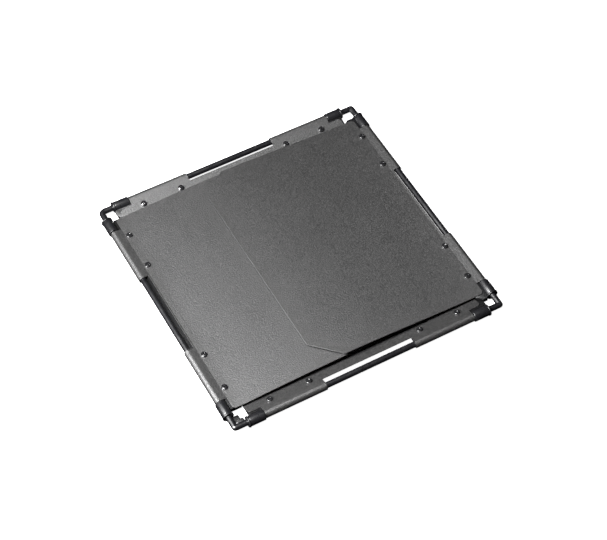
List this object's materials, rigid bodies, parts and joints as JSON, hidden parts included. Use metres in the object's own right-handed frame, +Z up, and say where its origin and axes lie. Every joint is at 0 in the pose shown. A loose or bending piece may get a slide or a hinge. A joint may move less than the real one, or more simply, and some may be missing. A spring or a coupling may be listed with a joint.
{
  "type": "barn door attachment",
  "caption": "Square black metal barn door for a panel light: hinged leaves of sheet metal folded flat over a rod frame, turning stiffly on their rods to shape the beam.",
  "frame": {"origin": "under the middle of the square frame, on the surface it lies on", "axes": "+X towards the side with the long top leaf, +Y towards the back, +Z up out of the lamp's face"},
  "size_m": [0.2788, 0.2788, 0.0142],
  "materials": {
    "leaf": "satin black powder coat, fine grain",
    "clamp": "satin black powder coat",
    "rod": "semi-gloss black",
    "sleeve": "semi-gloss black",
    "screw": "glossy black oxide"
  },
  "bodies": {
    "frame": {"front_rod": "rod", "front_sleeve_a": "sleeve", "front_stop_ring_a": "sleeve", "front_sleeve_b": "sleeve", "front_stop_ring_b": "sleeve", "right_rod": "rod", "right_sleeve_a": "sleeve", "right_stop_ring_a": "sleeve", "right_sleeve_b": "sleeve", "right_stop_ring_b": "sleeve", "back_rod": "rod", "back_sleeve_a": "sleeve", "back_stop_ring_a": "sleeve", "back_sleeve_b": "sleeve", "back_stop_ring_b": "sleeve", "left_rod": "rod", "left_sleeve_a": "sleeve", "left_stop_ring_a": "sleeve", "left_sleeve_b": "sleeve", "left_stop_ring_b": "sleeve", "front_left_elbow": "rod", "front_right_elbow": "rod", "back_right_elbow": "rod", "back_left_elbow": "rod", "front_left_fixing_tab": "clamp"},
    "front_door": {"front_leaf": "leaf", "front_clamp_bar_a": "clamp", "front_clamp_bar_b": "clamp", "front_screw_1": "screw", "front_screw_2": "screw", "front_screw_3": "screw", "front_screw_4": "screw"},
    "right_door": {"right_leaf": "leaf", "right_clamp_bar_a": "clamp", "right_clamp_bar_b": "clamp", "right_screw_1": "screw", "right_screw_2": "screw", "right_screw_3": "screw", "right_screw_4": "screw"},
    "back_door": {"back_leaf": "leaf", "back_clamp_bar_a": "clamp", "back_clamp_bar_b": "clamp", "back_screw_1": "screw", "back_screw_2": "screw", "back_screw_3": "screw", "back_screw_4": "screw"},
    "left_door": {"left_leaf": "leaf", "left_clamp_bar": "clamp", "left_screw_1": "screw", "left_screw_2": "screw", "left_screw_3": "screw", "left_screw_4": "screw"}
  },
  "joints": [
    {"name": "right_hinge", "type": "hinge", "parent": "frame", "child": "right_door", "pos_m": [0.134, 0, 0.0054], "axis": [0, 1, 0], "range_deg": [0, 210]},
    {"name": "left_hinge", "type": "hinge", "parent": "frame", "child": "left_door", "pos_m": [-0.134, 0, 0.0054], "axis": [0, -1, 0], "range_deg": [0, 210]},
    {"name": "front_hinge", "type": "hinge", "parent": "frame", "child": "front_door", "pos_m": [0, -0.134, 0.0054], "axis": [1, 0, 0], "range_deg": [0, 210]},
    {"name": "back_hinge", "type": "hinge", "parent": "frame", "child": "back_door", "pos_m": [0, 0.134, 0.0054], "axis": [-1, 0, 0], "range_deg": [0, 210]}
  ],
  "couplings": [
    {"joint": "left_hinge", "follows": "right_hinge", "ratio": 1},
    {"joint": "front_hinge", "follows": "right_hinge", "ratio": 1},
    {"joint": "back_hinge", "follows": "right_hinge", "ratio": 1}
  ]
}
